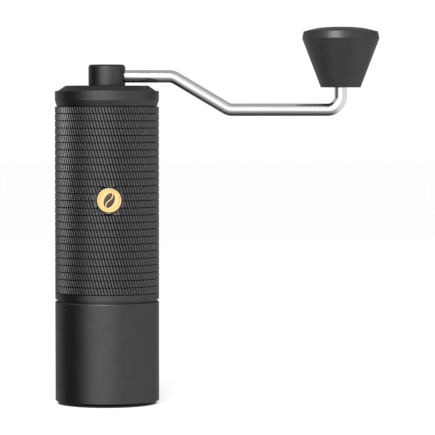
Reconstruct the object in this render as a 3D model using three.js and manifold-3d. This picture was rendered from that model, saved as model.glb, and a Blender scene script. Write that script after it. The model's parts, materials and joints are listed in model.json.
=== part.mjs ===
// Hand crank coffee grinder: catch cup, barrel with conical burrs, lid, bent crank and knob.
// Millimetres, +Z up. The grinder stands on z = 0, the crank points along +X and the badge faces -Y.

import * as THREE from 'three';
import { mergeVertices } from 'three/addons/utils/BufferGeometryUtils.js';
import Module from 'manifold-3d';

// Fits
const seat = 0.3; // left between two pieces that touch
const slip = 0.3; // radial play of a part that turns or slides

// Sides of the round pieces
const bodySides = 36;
const sleeveSides = 24;
const tubeSides = 28;
const smallSides = 24;
const tinySides = 12;

// Overall sizes
const bodyRadius = 27.5; // catch cup, grip sleeve and lid
const cupSeam = 54.4; // height of the seam between catch cup and grip sleeve
const sleeveLength = 102.79; // from that seam to the seam under the lid
const lidHeight = 10.91; // from the seam under the lid to its flat top

// Catch cup
const cupWall = 2.1; // round the mouth, where the spigot enters
const cupLowerWall = 2.9;
const cupFloor = 1.5;
const cupMouthDepth = 8.2;
const cupRimBevel = [1.05, 1.3];
const cupFootBevel = [1.4, 1.4];
const cupHeelHeight = 0.8; // the foot pad shows below this height
const footPadThickness = 1.4;
const footPadRim = 0.9; // wall of the cup left round the pad's spigot

// Grip sleeve
const sleeveWall = 2.1;
const groovePitch = 3.782;
const plainBand = 4.2; // at least this much below the last ring groove
const grooveWidth = 0.7;
const grooveDepth = 0.42;
const sleeveLowerBevel = [1.05, 1.0];
const sleeveUpperBevel = 0.4;

// Badge
const badgeRadius = 6.5;
const badgeThickness = 0.8;
const badgeDrop = 48.84; // its centre below the seam under the lid
const badgeProud = 0.1; // its face stays this far inside the sleeve's crown
const badgeEngraving = 0.3;

// Inner barrel
const spigotLength = 7.5;
const spigotBevel = 0.6;
const barrelWall = 3.5; // round the throat that holds the burrs
const burrStep = 0.8; // from the throat in to the hopper
const collarStep = 1.8; // from the hopper out to the collar that holds the bridge and the lid
const burrShoulderRise = 36.9; // step above the burrs, measured up from the cup's seam
const bridgeShoulderDrop = 25.19; // step under the bridge, measured down from the lid's seam

// Bearings
const bearingSection = 5.5; // from the shaft's surface to the outside of the outer race
const bearingOuterWall = 1.6;
const bearingInnerWall = 1.3;
const bearingWidth = 5.0;
const bearingBallCount = 7;
const bearingLip = 1.2; // floor of the pocket under a bearing
const bearingHubWall = 1.3;
const cageHeight = 2.2;

// Bearing bridge and burr carrier
const spiderRim = 2.0;
const spiderArmWidth = 5.0;
const spiderArmCount = 3;
const bridgeRimHeight = 5.0;
const carrierHeight = 6.5;
const carrierSkirt = 5.8; // spacer below its arms, down to the outer burr
const snapThickness = 1.2;
const snapGrooveDepth = 0.9;
const snapReach = 1.6; // of the snap ring inside the collar

// Shaft
const shaftRadius = 4.0;
const threadStep = 1.0; // from the shaft down to its thread
const threadLength = 13.2;
const driveLength = 14.0; // hexagon at the top
const driveEntry = 9.0; // of it inside the socket
const shaftClipWidth = 2.2; // outside the shaft
const shaftClipThickness = 0.7;
const shaftGrooveDepth = 0.6;

// Burrs
const outerBurrHeight = 16.0;
const outerBurrFootWall = 3.4; // round its cavity at the bottom
const outerBurrThroatWall = 5.5; // where the cavity is narrowest
const outerBurrMouthWall = 2.5; // at the top
const outerBurrMouthShare = 0.8; // of its height, below the flared mouth
const innerBurrHeight = 18.0;
const burrGap = 0.5; // between the burrs at their feet, at the finest setting
const innerBurrBand = 1.6;
const innerBurrTopWall = 2.4; // round the spring well
const innerBurrTeeth = 14;
const innerBurrToothDepth = 1.5;
const outerBurrTeeth = 18;
const outerBurrToothDepth = 0.9;
const burrTwist = 0.9; // radians of lead over the height of a burr
const retainerHeight = 3.3;
const retainerWall = 2.7;
const springWell = 7.0; // depth of the well in the inner burr
const springWireRadius = 0.6;
const springPlay = 0.7; // inside and outside the spring
const springTurns = 4;
const springWasherThickness = 0.6;

// Adjusting dial
const clickPlateRadius = 11.0;
const clickPlateThickness = 1.7;
const clickCount = 12;
const clickCircle = 8.4;
const clickHoleRadius = 1.0;
const dialRadius = 12.5;
const dialHeight = 9.8;
const dialScallops = 20;
const dialScallopDepth = 0.7;
const dialCount = 2; // click balls and their springs
const clickBallRadius = 1.0;
const clickWellDepth = 5.2;
const clickSpringWire = 0.22;
const clickSpringTurns = 3;

// Lid
const lidLowerTaper = [0.9, 2.9];
const lidLedge = 1.6;
const lidBevel = [4.0, 2.7];
const lidSkirtWall = 2.4;
const lidSkirtLength = 7.2;
const lidRoof = 3.0;
const sealSection = 0.7;
const sealProud = 0.4;
const sealDrop = 3.6; // centre of the seal below the seam
const bushWall = 1.4;
const bushFlangeThickness = 0.9;
const bushFlangeWidth = 1.6;
const lidBossWall = 2.3;

// Crank
const hubOverlap = 0.4; // of the hub over the bore in the lid
const hubRoof = 2.7; // above the rod
const hubBevel = 1.0;
const stemWall = 1.5;
const stemLength = 10.3; // below the lid's top
const stemClipThickness = 0.7;
const stemClipWidth = 2.6;
const stemGrooveDepth = 0.6;
const socketWall = 1.1;
const rodRadius = 3.4;
const rodFloor = 1.3; // of the hub below the rod
const rodShelf = 7.3; // from the body's side to the first bend
const rodSlope = 29.8; // length of the sloping run along X
const rodDrop = 17.7;
const rodInset = -5.0; // inner end of the rod, along X
const bendRadius = 7.1;
const crankReach = 124.3;
const grubRadius = 1.6;

// Knob
const knobGap = 11.8; // from the lower run's centre up to the knob
const knobFootRadius = 10.6;
const knobRadius = 20.55;
const knobConeHeight = 26.0;
const knobShoulder = [1.25, 3.8];
const knobDomeRise = 2.4;
const knobCapInset = 0.5;
const knobCapDepth = 2.2;
const knobBushWall = 1.2;
const knobBushLength = 7.0;
const knobBushInset = 0.8;
const knobChamberRadius = 8.0;
const knobChamberDepth = 8.0; // below the cap
const knobWasherRadius = 7.2;
const knobWasherThickness = 0.8;
const knobScrewRadius = 1.5;
const knobScrewLength = 9.0;
const knobScrewHead = [3.6, 2.4];

// Heights that follow from the sizes above
const lidSeam = cupSeam + sleeveLength;
const cupRim = cupSeam - seat / 2;
const sleeveFoot = cupSeam + seat / 2;
const sleeveTop = lidSeam - seat / 2;
const lidFoot = lidSeam + seat / 2;
const lidTop = lidSeam + lidHeight;
const badgeHeight = lidSeam - badgeDrop;
const grooveCount = Math.floor((sleeveLength - plainBand) / groovePitch);
const barrelRadius = bodyRadius - sleeveWall - seat;
const cupMouth = bodyRadius - cupWall;
const spigotRadius = Math.min(barrelRadius, cupMouth - seat);
const spigotEnd = sleeveFoot - spigotLength;
const throatRadius = spigotRadius - barrelWall;
const hopperRadius = throatRadius - burrStep;
const collarRadius = hopperRadius + collarStep;
const burrShoulder = cupSeam + burrShoulderRise;
const bridgeShoulder = lidSeam - bridgeShoulderDrop;
const lidSkirtRadius = collarRadius - 2 * slip;
const bridgeFoot = bridgeShoulder + seat;
const upperBearing = bridgeFoot + bearingLip + seat;
const carrierTop = burrShoulder - seat;
const carrierFoot = carrierTop - carrierHeight - carrierSkirt;
const lowerBearing = carrierTop - bearingWidth;
const outerBurrBase = carrierFoot - seat - outerBurrHeight;
const innerBurrBase = outerBurrBase + 0.2;
const innerBurrCrown = innerBurrBase + innerBurrHeight;
const springFloor = innerBurrCrown - springWell;
const springMeanRadius = shaftRadius + springPlay + springWireRadius;
const springWellRadius = springMeanRadius + springWireRadius + springPlay;
const outerBurrRadius = throatRadius - seat;
const outerBurrFoot = outerBurrRadius - outerBurrFootWall;
const outerBurrThroat = outerBurrRadius - outerBurrThroatWall;
const outerBurrMouth = outerBurrRadius - outerBurrMouthWall;
const innerBurrFoot = outerBurrFoot - burrGap;
const innerBurrTop = springWellRadius + innerBurrTopWall;
const retainerTop = outerBurrBase - seat;
const clickPlateTop = innerBurrBase - seat;
const dialTop = clickPlateTop - clickPlateThickness - seat;
const dialFoot = dialTop - dialHeight;
const shaftFoot = dialFoot - 1.6;
const hubFoot = lidTop + seat;
const rodUpper = hubFoot + rodFloor + rodRadius;
const hubTop = rodUpper + rodRadius + hubRoof;
const stemFoot = lidTop - stemLength;
const shaftTop = stemFoot + driveEntry;
const threadRadius = shaftRadius - threadStep;
const bearingBore = shaftRadius + slip;
const bearingOuterRadius = shaftRadius + bearingSection;
const socketRadius = shaftRadius + slip + socketWall;
const stemRadius = socketRadius + seat + stemWall;
const stemBushRadius = stemRadius + slip;
const lidBore = stemBushRadius + bushWall + seat;
const hubRadius = lidBore + hubOverlap;
const rodBendStart = bodyRadius + rodShelf;
const rodBendEnd = rodBendStart + rodSlope;
const rodLower = rodUpper - rodDrop;
const knobFoot = rodLower + knobGap;
const knobWidest = knobFoot + knobConeHeight;
const knobEdge = knobWidest + knobShoulder[1];
const knobBushRadius = rodRadius + slip + knobBushWall;
const knobCapFoot = knobEdge - knobCapDepth;
const chamberFoot = knobCapFoot - seat - knobChamberDepth;
const spindleTop = chamberFoot + seat;

const wasm = await Module();
wasm.setup();

// Booleans

function toManifold(geometry) {
  const clean = geometry.clone();
  clean.deleteAttribute('normal');
  clean.deleteAttribute('uv');
  const merged = mergeVertices(clean, 1e-4);
  return new wasm.Manifold(new wasm.Mesh({
    numProp: 3,
    vertProperties: new Float32Array(merged.attributes.position.array),
    triVerts: new Uint32Array(merged.index.array),
  }));
}

function toGeometry(solid) {
  const mesh = solid.getMesh();
  const geometry = new THREE.BufferGeometry();
  geometry.setAttribute('position', new THREE.BufferAttribute(new Float32Array(mesh.vertProperties), 3));
  geometry.setIndex(new THREE.BufferAttribute(new Uint32Array(mesh.triVerts), 1));
  return geometry;
}

function cut(geometry, ...tools) {
  let solid = toManifold(geometry);
  for (const tool of tools) {
    solid = solid.subtract(toManifold(tool));
  }
  return toGeometry(solid);
}

function join(geometry, ...others) {
  let solid = toManifold(geometry);
  for (const other of others) {
    solid = solid.add(toManifold(other));
  }
  return toGeometry(solid);
}

// Shapes

// A body of revolution about Z. Its outline is a list of [radius, height] points.
function turned(outline, segments = tubeSides) {
  const points = outline.map(([radius, height]) => new THREE.Vector2(radius, height));
  points.push(points[0].clone());
  return new THREE.LatheGeometry(points, segments).rotateX(Math.PI / 2).rotateZ(Math.PI / 2);
}

function ring(inner, outer, foot, top, segments = smallSides) {
  return turned([[inner, foot], [outer, foot], [outer, top], [inner, top]], segments);
}

function disc(radius, foot, top, segments = smallSides) {
  const height = top - foot;
  return new THREE.CylinderGeometry(radius, radius, height, segments).rotateX(Math.PI / 2)
    .translate(0, 0, foot + height / 2);
}

// A hexagonal bar about Z, given the radius through its corners.
function hexagon(radius, foot, top) {
  return disc(radius, foot, top, 6);
}

function block(width, depth, foot, top) {
  return new THREE.BoxGeometry(width, depth, top - foot).translate(0, 0, (foot + top) / 2);
}

// A ring with a gap in it, as a snap ring or a retaining clip has.
function splitRing(inner, outer, foot, top, opening, segments = tubeSides) {
  const shape = new THREE.Shape();
  shape.absarc(0, 0, outer, opening / 2, 2 * Math.PI - opening / 2, false);
  shape.absarc(0, 0, inner, 2 * Math.PI - opening / 2, opening / 2, true);
  return new THREE.ExtrudeGeometry(shape, {
    depth: top - foot,
    bevelEnabled: false,
    curveSegments: segments / 2,
  }).translate(0, 0, foot);
}

// A round rope of a given radius along a curve.
function rope(curve, radius, steps, sides) {
  const section = new THREE.Shape();
  section.absarc(0, 0, radius, 0, 2 * Math.PI, false);
  return new THREE.ExtrudeGeometry(section, {
    steps,
    extrudePath: curve,
    curveSegments: sides,
    bevelEnabled: false,
  });
}

class Coil extends THREE.Curve {
  constructor(radius, foot, top, turns) {
    super();
    Object.assign(this, { radius, foot, top, turns });
  }

  getPoint(t, target = new THREE.Vector3()) {
    const angle = 2 * Math.PI * this.turns * t;
    const height = this.foot + (this.top - this.foot) * t;
    return target.set(this.radius * Math.cos(angle), this.radius * Math.sin(angle), height);
  }
}

function coilSpring(meanRadius, wireRadius, foot, top, turns, stepsPerTurn, sides) {
  const curve = new Coil(meanRadius, foot + 1.3 * wireRadius, top - 1.3 * wireRadius, turns);
  return rope(curve, wireRadius, turns * stepsPerTurn, sides);
}

// A closed solid between two heights whose radius is given by radiusAt(height share, angle).
function toothedCone(radiusAt, foot, top, rings, segments) {
  const positions = [];
  const index = [];
  for (let row = 0; row <= rings; row += 1) {
    const share = row / rings;
    for (let step = 0; step < segments; step += 1) {
      const angle = (2 * Math.PI * step) / segments;
      const radius = radiusAt(share, angle);
      positions.push(radius * Math.cos(angle), radius * Math.sin(angle), foot + (top - foot) * share);
    }
  }
  const lower = positions.length / 3;
  positions.push(0, 0, foot, 0, 0, top);
  for (let step = 0; step < segments; step += 1) {
    const next = (step + 1) % segments;
    index.push(lower, next, step);
    index.push(lower + 1, rings * segments + step, rings * segments + next);
    for (let row = 0; row < rings; row += 1) {
      const near = row * segments;
      const far = near + segments;
      index.push(near + step, near + next, far + next);
      index.push(near + step, far + next, far + step);
    }
  }
  const geometry = new THREE.BufferGeometry();
  geometry.setAttribute('position', new THREE.Float32BufferAttribute(positions, 3));
  geometry.setIndex(index);
  return geometry;
}

// Rises from 0 to 1 round each of `count` teeth, as a saw does.
function sawtooth(angle, count) {
  const turn = (angle * count) / (2 * Math.PI);
  return turn - Math.floor(turn);
}

// Materials

const finish = {
  anodised: { color: 0x4a4a4b, roughness: 0.5, metalness: 0.75 },
  barrel: { color: 0x8d8f92, roughness: 0.4, metalness: 0.9 },
  steel: { color: 0xb9bbbd, roughness: 0.25, metalness: 1.0 },
  polished: { color: 0xe2e2e2, roughness: 0.08, metalness: 1.0 },
  burr: { color: 0x77797c, roughness: 0.35, metalness: 1.0 },
  brass: { color: 0xcaa557, roughness: 0.3, metalness: 1.0 },
  gold: { color: 0xf0d28e, roughness: 0.3, metalness: 0.9 },
  nylon: { color: 0xd9d7cf, roughness: 0.6, metalness: 0.0 },
  knob: { color: 0x2f2f30, roughness: 0.45, metalness: 0.0 },
  rubber: { color: 0x161617, roughness: 0.85, metalness: 0.0 },
};

const grinder = new THREE.Group();

function add(name, geometry, look, x = 0) {
  const mesh = new THREE.Mesh(geometry, new THREE.MeshStandardMaterial(finish[look]));
  mesh.name = name;
  mesh.position.x = x;
  grinder.add(mesh);
}

// Catch cup

const cupFootRadius = bodyRadius - cupFootBevel[0];
const footPadRadius = cupFootRadius - footPadRim - seat;
const cupLowerBore = bodyRadius - cupLowerWall;
const padRoof = footPadThickness + seat;
const cupInside = padRoof + cupFloor;
const cupCorner = 2.0; // round where the cup's floor meets its wall
const cornerPoints = [0, 1, 2, 3].map((step) => {
  const angle = (Math.PI / 6) * step;
  return [
    cupLowerBore - cupCorner * (1 - Math.cos(angle)),
    cupInside + cupCorner * (1 - Math.sin(angle)),
  ];
});

add('cup_shell', turned([
  [0, padRoof],
  [footPadRadius + seat, padRoof],
  [footPadRadius + seat, cupHeelHeight],
  [cupFootRadius, cupHeelHeight],
  [bodyRadius, cupHeelHeight + cupFootBevel[1]],
  [bodyRadius, cupRim - cupRimBevel[1]],
  [bodyRadius - cupRimBevel[0], cupRim],
  [cupMouth, cupRim],
  [cupMouth, cupRim - cupMouthDepth],
  [cupLowerBore, cupRim - cupMouthDepth - 0.5],
  ...cornerPoints,
  [0, cupInside],
], bodySides), 'anodised');
add('foot_pad', turned([
  [0, 0],
  [cupFootRadius, 0],
  [cupFootRadius, cupHeelHeight - seat],
  [footPadRadius, cupHeelHeight - seat],
  [footPadRadius, footPadThickness],
  [0, footPadThickness],
], bodySides), 'rubber');

// Grip sleeve

const groovePoints = [];
for (let groove = grooveCount; groove >= 1; groove -= 1) {
  const height = lidSeam - groove * groovePitch;
  groovePoints.push([bodyRadius, height - grooveWidth / 2]);
  groovePoints.push([bodyRadius - grooveDepth, height]);
  groovePoints.push([bodyRadius, height + grooveWidth / 2]);
}
const sleeveBore = bodyRadius - sleeveWall;
const sleeveTube = turned([
  [sleeveBore, sleeveFoot],
  [bodyRadius - sleeveLowerBevel[0], sleeveFoot],
  [bodyRadius, sleeveFoot + sleeveLowerBevel[1]],
  ...groovePoints,
  [bodyRadius, sleeveTop - sleeveUpperBevel],
  [bodyRadius - sleeveUpperBevel, sleeveTop],
  [sleeveBore, sleeveTop],
], sleeveSides);
const badgeFace = bodyRadius - badgeProud;
const badgeBack = badgeFace - badgeThickness;

// Places a round bar that lies along Y in the badge's seat, between two distances from the axis.
function badgeBar(radius, near, far, segments = tubeSides) {
  return new THREE.CylinderGeometry(radius, radius, far - near, segments)
    .translate(0, -(near + far) / 2, badgeHeight);
}

add('grip_sleeve', cut(
  sleeveTube,
  badgeBar(badgeRadius + seat, badgeBack - seat, bodyRadius + 1),
), 'anodised');

// Badge with an engraved coffee bean

const beanShape = new THREE.Shape();
beanShape.absellipse(0, 0, 2.5, 3.8, 0, 2 * Math.PI, false);
const beanCrease = new THREE.CubicBezierCurve3(
  new THREE.Vector3(0.6, 0, 4.6),
  new THREE.Vector3(-2.2, 0, 1.4),
  new THREE.Vector3(2.2, 0, -1.4),
  new THREE.Vector3(-0.6, 0, -4.6),
);
const bean = new THREE.ExtrudeGeometry(beanShape, { depth: 1, bevelEnabled: false, curveSegments: 14 })
  .rotateX(Math.PI / 2)
  .rotateY(-0.45)
  .translate(0, badgeEngraving - badgeFace, badgeHeight);
const crease = rope(beanCrease, 0.35, 10, 6)
  .rotateY(-0.45)
  .translate(0, badgeEngraving - badgeFace, badgeHeight);
add('badge', cut(
  badgeBar(badgeRadius, badgeBack, badgeFace),
  cut(bean, crease),
), 'gold');

// Inner barrel: hopper above, burr housing below, spigot for the catch cup at the bottom

const snapFoot = bridgeFoot + bridgeRimHeight + seat;
add('inner_barrel', turned([
  [throatRadius, spigotEnd],
  [spigotRadius - spigotBevel, spigotEnd],
  [spigotRadius, spigotEnd + spigotBevel],
  [spigotRadius, sleeveFoot],
  [barrelRadius, sleeveFoot],
  [barrelRadius, sleeveTop],
  [collarRadius, sleeveTop],
  [collarRadius, snapFoot + snapThickness + seat],
  [collarRadius + snapGrooveDepth, snapFoot + snapThickness + seat],
  [collarRadius + snapGrooveDepth, snapFoot - seat],
  [collarRadius, snapFoot - seat],
  [collarRadius, bridgeShoulder],
  [hopperRadius, bridgeShoulder],
  [hopperRadius, burrShoulder],
  [throatRadius, burrShoulder],
]), 'barrel');

// Bearings

const outerRaceBore = bearingOuterRadius - bearingOuterWall;
const innerRaceRadius = bearingBore + bearingInnerWall;
const ballCircle = (outerRaceBore + innerRaceRadius) / 2;
const ballRadius = (outerRaceBore - innerRaceRadius) / 2 - slip;

function ballCage(foot) {
  const middle = foot + bearingWidth / 2;
  const halfBand = ballRadius * 0.6;
  const band = ring(ballCircle - halfBand, ballCircle + halfBand, middle - cageHeight / 2,
    middle + cageHeight / 2);
  const balls = [];
  for (let ball = 0; ball < bearingBallCount; ball += 1) {
    const angle = (2 * Math.PI * ball) / bearingBallCount;
    balls.push(new THREE.SphereGeometry(ballRadius, 6, 4)
      .translate(ballCircle * Math.cos(angle), ballCircle * Math.sin(angle), middle));
  }
  return join(band, ...balls);
}

function addBearing(place, foot) {
  const top = foot + bearingWidth;
  add(`${place}_outer_race`, ring(outerRaceBore, bearingOuterRadius, foot, top), 'steel');
  add(`${place}_inner_race`, ring(bearingBore, innerRaceRadius, foot, top), 'steel');
  add(`${place}_ball_cage`, ballCage(foot), 'brass');
}

addBearing('upper', upperBearing);
addBearing('lower', lowerBearing);

// A rim, three arms and a hub with a pocket for a bearing that rests on a lip.
function spider(rimRadius, rimFoot, armFoot, top, bearingFoot) {
  const pocket = bearingOuterRadius + seat;
  const hub = disc(pocket + bearingHubWall, armFoot, top);
  const rim = ring(rimRadius - spiderRim, rimRadius, rimFoot, top, tubeSides);
  const arms = [];
  for (let arm = 0; arm < spiderArmCount; arm += 1) {
    const armRadius = rimRadius - spiderRim / 2;
    arms.push(block(armRadius, spiderArmWidth, armFoot, top)
      .translate(armRadius / 2, 0, 0)
      .rotateZ((2 * Math.PI * arm) / spiderArmCount + Math.PI / 2));
  }
  return cut(
    join(hub, rim, ...arms),
    disc(pocket, bearingFoot - seat, top + 1),
    disc(outerRaceBore - 0.6, armFoot - 1, top),
  );
}

const bridgeTop = bridgeFoot + bridgeRimHeight;
add('bearing_bridge', spider(collarRadius - seat, bridgeFoot, bridgeFoot, bridgeTop, upperBearing), 'barrel');
add('bridge_snap_ring', splitRing(collarRadius - snapReach, collarRadius + snapGrooveDepth - seat, snapFoot,
  snapFoot + snapThickness, 0.5), 'steel');
add('burr_carrier', spider(throatRadius - seat, carrierFoot, carrierTop - carrierHeight, carrierTop,
  lowerBearing), 'barrel');

// Drive shaft with its clips

const clipGrooves = [upperBearing, lowerBearing].map((foot) => foot + bearingWidth);
const threadTop = shaftFoot + threadLength;
const hexagonFoot = shaftTop - driveLength;
const keyTop = innerBurrCrown + 1;
const shaftStock = turned([
  [0, shaftFoot],
  [threadRadius - 0.4, shaftFoot],
  [threadRadius, shaftFoot + 0.4],
  [threadRadius, threadTop],
  [shaftRadius, threadTop],
  ...[...clipGrooves].reverse().flatMap((foot) => [
    [shaftRadius, foot],
    [shaftRadius - shaftGrooveDepth, foot],
    [shaftRadius - shaftGrooveDepth, foot + shaftClipThickness + 2 * seat],
    [shaftRadius, foot + shaftClipThickness + 2 * seat],
  ]),
  [shaftRadius, shaftTop],
  [0, shaftTop],
], smallSides);

// What turning a hexagon out of a stretch of round bar takes away.
function hexagonWaste(foot, top) {
  return cut(disc(shaftRadius + 1, foot, top), hexagon(shaftRadius, foot - 1, top + 1));
}

add('drive_shaft', cut(
  shaftStock,
  hexagonWaste(hexagonFoot, shaftTop + 1),
  hexagonWaste(threadTop, keyTop),
), 'steel');
const clipBore = shaftRadius - shaftGrooveDepth + seat;
const clipNames = ['upper_shaft_clip', 'lower_shaft_clip'];
clipGrooves.forEach((foot, place) => {
  const clipFoot = foot + seat;
  const clip = splitRing(clipBore, shaftRadius + shaftClipWidth, clipFoot, clipFoot + shaftClipThickness, 1.0,
    smallSides);
  add(clipNames[place], clip, 'steel');
});

// Burrs

const innerSlope = (innerBurrFoot - innerBurrTop) / (innerBurrHeight - innerBurrBand);

function innerBurrRadius(share, angle) {
  const above = Math.max(0, share * innerBurrHeight - innerBurrBand);
  const tooth = sawtooth(angle + burrTwist * share, innerBurrTeeth);
  return innerBurrFoot - innerSlope * above - innerBurrToothDepth * share * tooth - 0.3 * tooth;
}

function outerBurrCavity(share, angle) {
  const height = share * outerBurrHeight;
  const mouth = outerBurrHeight * outerBurrMouthShare;
  const cone = outerBurrFoot + (outerBurrThroat - outerBurrFoot) * Math.min(1, height / mouth);
  const above = Math.max(0, (height - mouth) / (outerBurrHeight - mouth));
  const flare = (outerBurrMouth - outerBurrThroat) * above;
  const tooth = sawtooth(angle + burrTwist * share, outerBurrTeeth);
  return Math.min(cone + flare + outerBurrToothDepth * tooth * (0.3 + share), outerBurrMouth);
}

const keyBore = shaftRadius + slip;
add('inner_burr', cut(
  toothedCone(innerBurrRadius, innerBurrBase, innerBurrCrown, 5, innerBurrTeeth * 4),
  hexagon(keyBore, innerBurrBase - 1, innerBurrCrown + 1),
  disc(springWellRadius, springFloor, innerBurrCrown + 1),
), 'burr');
const outerCavity = toothedCone(outerBurrCavity, outerBurrBase, outerBurrBase + outerBurrHeight, 4,
  outerBurrTeeth * 3);
add('outer_burr', cut(
  ring(outerBurrFoot - 6, outerBurrRadius, outerBurrBase + 0.001, outerBurrBase + outerBurrHeight - 0.001,
    tubeSides),
  outerCavity,
), 'burr');
add('burr_retainer', ring(outerBurrRadius - retainerWall, outerBurrRadius, retainerTop - retainerHeight,
  retainerTop, tubeSides), 'steel');

// Burr spring and its washer

const washerFoot = springFloor + seat;
const springFoot = washerFoot + springWasherThickness;
const springTop = lowerBearing - seat;
add('spring_washer', ring(bearingBore + 0.2, springWellRadius - seat, washerFoot, springFoot), 'steel');
add('burr_spring', coilSpring(springMeanRadius, springWireRadius, springFoot, springTop, springTurns, 12, 3),
  'steel');

// Click plate, adjusting dial, click balls and their springs

function aroundShaft(count, radius, make) {
  return Array.from({ length: count }, (_, place) => {
    const angle = (2 * Math.PI * place) / count;
    return make().translate(radius * Math.cos(angle), radius * Math.sin(angle), 0);
  });
}

const clickPlateFoot = clickPlateTop - clickPlateThickness;
add('click_plate', cut(
  disc(clickPlateRadius, clickPlateFoot, clickPlateTop),
  hexagon(keyBore, clickPlateFoot - 1, clickPlateTop + 1),
  ...aroundShaft(clickCount, clickCircle,
    () => disc(clickHoleRadius, clickPlateFoot - 1, clickPlateTop + 1, 6)),
), 'steel');

const ballWell = clickBallRadius + seat;
const dialStock = toothedCone(
  (share, angle) => dialRadius - dialScallopDepth * Math.cos((dialScallops * angle) / 2) ** 2,
  dialFoot, dialTop, 1, dialScallops * 4,
);
add('adjusting_dial', cut(
  dialStock,
  disc(threadRadius + slip, dialFoot - 1, dialTop + 1),
  disc(threadRadius + 3.2, dialFoot - 1, dialFoot + 2.5),
  ...aroundShaft(dialCount, clickCircle,
    () => disc(ballWell, dialTop - clickWellDepth, dialTop + 1, tinySides)),
), 'brass');
for (let place = 0; place < dialCount; place += 1) {
  const x = clickCircle * Math.cos((2 * Math.PI * place) / dialCount);
  const ballFoot = dialTop - 2 * clickBallRadius;
  add(`click_ball_${place + 1}`, new THREE.SphereGeometry(clickBallRadius, 8, 6)
    .translate(0, 0, ballFoot + clickBallRadius), 'steel', x);
  add(`click_spring_${place + 1}`, coilSpring(clickBallRadius - clickSpringWire, clickSpringWire,
    dialTop - clickWellDepth + seat, ballFoot - 0.1, clickSpringTurns, 8, 2), 'steel', x);
}

// Lid

const sealCentre = lidSkirtRadius + sealProud - sealSection;
const sealHeight = lidSeam - sealDrop;
const sealGroove = sealCentre - sealSection - seat;
const sealHalf = sealSection + seat;
const skirtFoot = lidSeam - lidSkirtLength;
const skirtBore = lidSkirtRadius - lidSkirtWall;
const wallTop = lidTop - lidBevel[1] - 0.1;
const bossFoot = stemFoot + stemClipThickness + 1.2;
const bushFlangeRadius = stemBushRadius + bushWall + bushFlangeWidth;
add('lid_cap', turned([
  [skirtBore, skirtFoot],
  [lidSkirtRadius - 0.5, skirtFoot],
  [lidSkirtRadius, skirtFoot + 0.5],
  [lidSkirtRadius, sealHeight - sealHalf],
  [sealGroove, sealHeight - sealHalf],
  [sealGroove, sealHeight + sealHalf],
  [lidSkirtRadius, sealHeight + sealHalf],
  [lidSkirtRadius, lidFoot],
  [bodyRadius - lidLowerTaper[0], lidFoot],
  [bodyRadius, lidFoot + lidLowerTaper[1]],
  [bodyRadius, wallTop],
  [bodyRadius - lidLedge, wallTop + 0.1],
  [bodyRadius - lidLedge - lidBevel[0], lidTop],
  [lidBore, lidTop],
  [lidBore, bossFoot + bushFlangeThickness + seat],
  [lidBore + lidBossWall, bossFoot + bushFlangeThickness + seat],
  [lidBore + lidBossWall, lidTop - lidRoof],
  [skirtBore, lidTop - lidRoof - 1.5],
], bodySides), 'anodised');
add('lid_seal', turned(Array.from({ length: 6 }, (_, step) => {
  const angle = (2 * Math.PI * step) / 6;
  return [sealCentre + sealSection * Math.cos(angle), sealHeight + sealSection * Math.sin(angle)];
})), 'rubber');
add('lid_bush', turned([
  [stemBushRadius, bossFoot],
  [bushFlangeRadius, bossFoot],
  [bushFlangeRadius, bossFoot + bushFlangeThickness],
  [stemBushRadius + bushWall, bossFoot + bushFlangeThickness],
  [stemBushRadius + bushWall, lidTop],
  [stemBushRadius, lidTop],
], smallSides), 'nylon');

// Crank hub, drive socket, clip and grub screw

const rodHole = rodRadius + seat;
const socketTop = rodUpper - rodHole - 1.2;
const stemGrooveFoot = stemFoot + 0.3;
const stemGrooveTop = stemGrooveFoot + stemClipThickness + 0.4;
const hubStock = turned([
  [0, hubTop],
  [hubRadius - hubBevel, hubTop],
  [hubRadius, hubTop - hubBevel],
  [hubRadius, hubFoot],
  [stemRadius, hubFoot],
  [stemRadius, stemGrooveTop],
  [stemRadius - stemGrooveDepth, stemGrooveTop],
  [stemRadius - stemGrooveDepth, stemGrooveFoot],
  [stemRadius, stemGrooveFoot],
  [stemRadius, stemFoot],
  [0, stemFoot],
].reverse(), tubeSides);
const rodBore = new THREE.CylinderGeometry(rodHole, rodHole, hubRadius + 2 - rodInset + seat, smallSides)
  .rotateZ(Math.PI / 2)
  .translate((hubRadius + 2 + rodInset - seat) / 2, 0, rodUpper);
add('crank_hub', cut(
  hubStock,
  rodBore,
  disc(socketRadius + seat, stemFoot - 1, socketTop),
  disc(grubRadius + seat, rodUpper, hubTop + 1, tinySides),
), 'anodised');
const socketBore = hexagon(shaftRadius + slip, stemFoot - 1, shaftTop + seat);
add('drive_socket', cut(disc(socketRadius, stemFoot, socketTop - seat), socketBore), 'steel');
add('hub_clip', splitRing(stemRadius - stemGrooveDepth + seat, stemRadius + stemClipWidth,
  stemGrooveFoot + 0.2, stemGrooveFoot + 0.2 + stemClipThickness, 0.9, smallSides), 'steel');
const grubFoot = rodUpper + rodRadius + seat;
add('grub_screw', cut(
  disc(grubRadius, grubFoot, hubTop - 0.5, tinySides),
  hexagon(grubRadius * 0.55, hubTop - 1.8, hubTop),
), 'steel');

// Crank rod: an upper run, a sloping run, a lower run and an upright spindle for the knob

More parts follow.
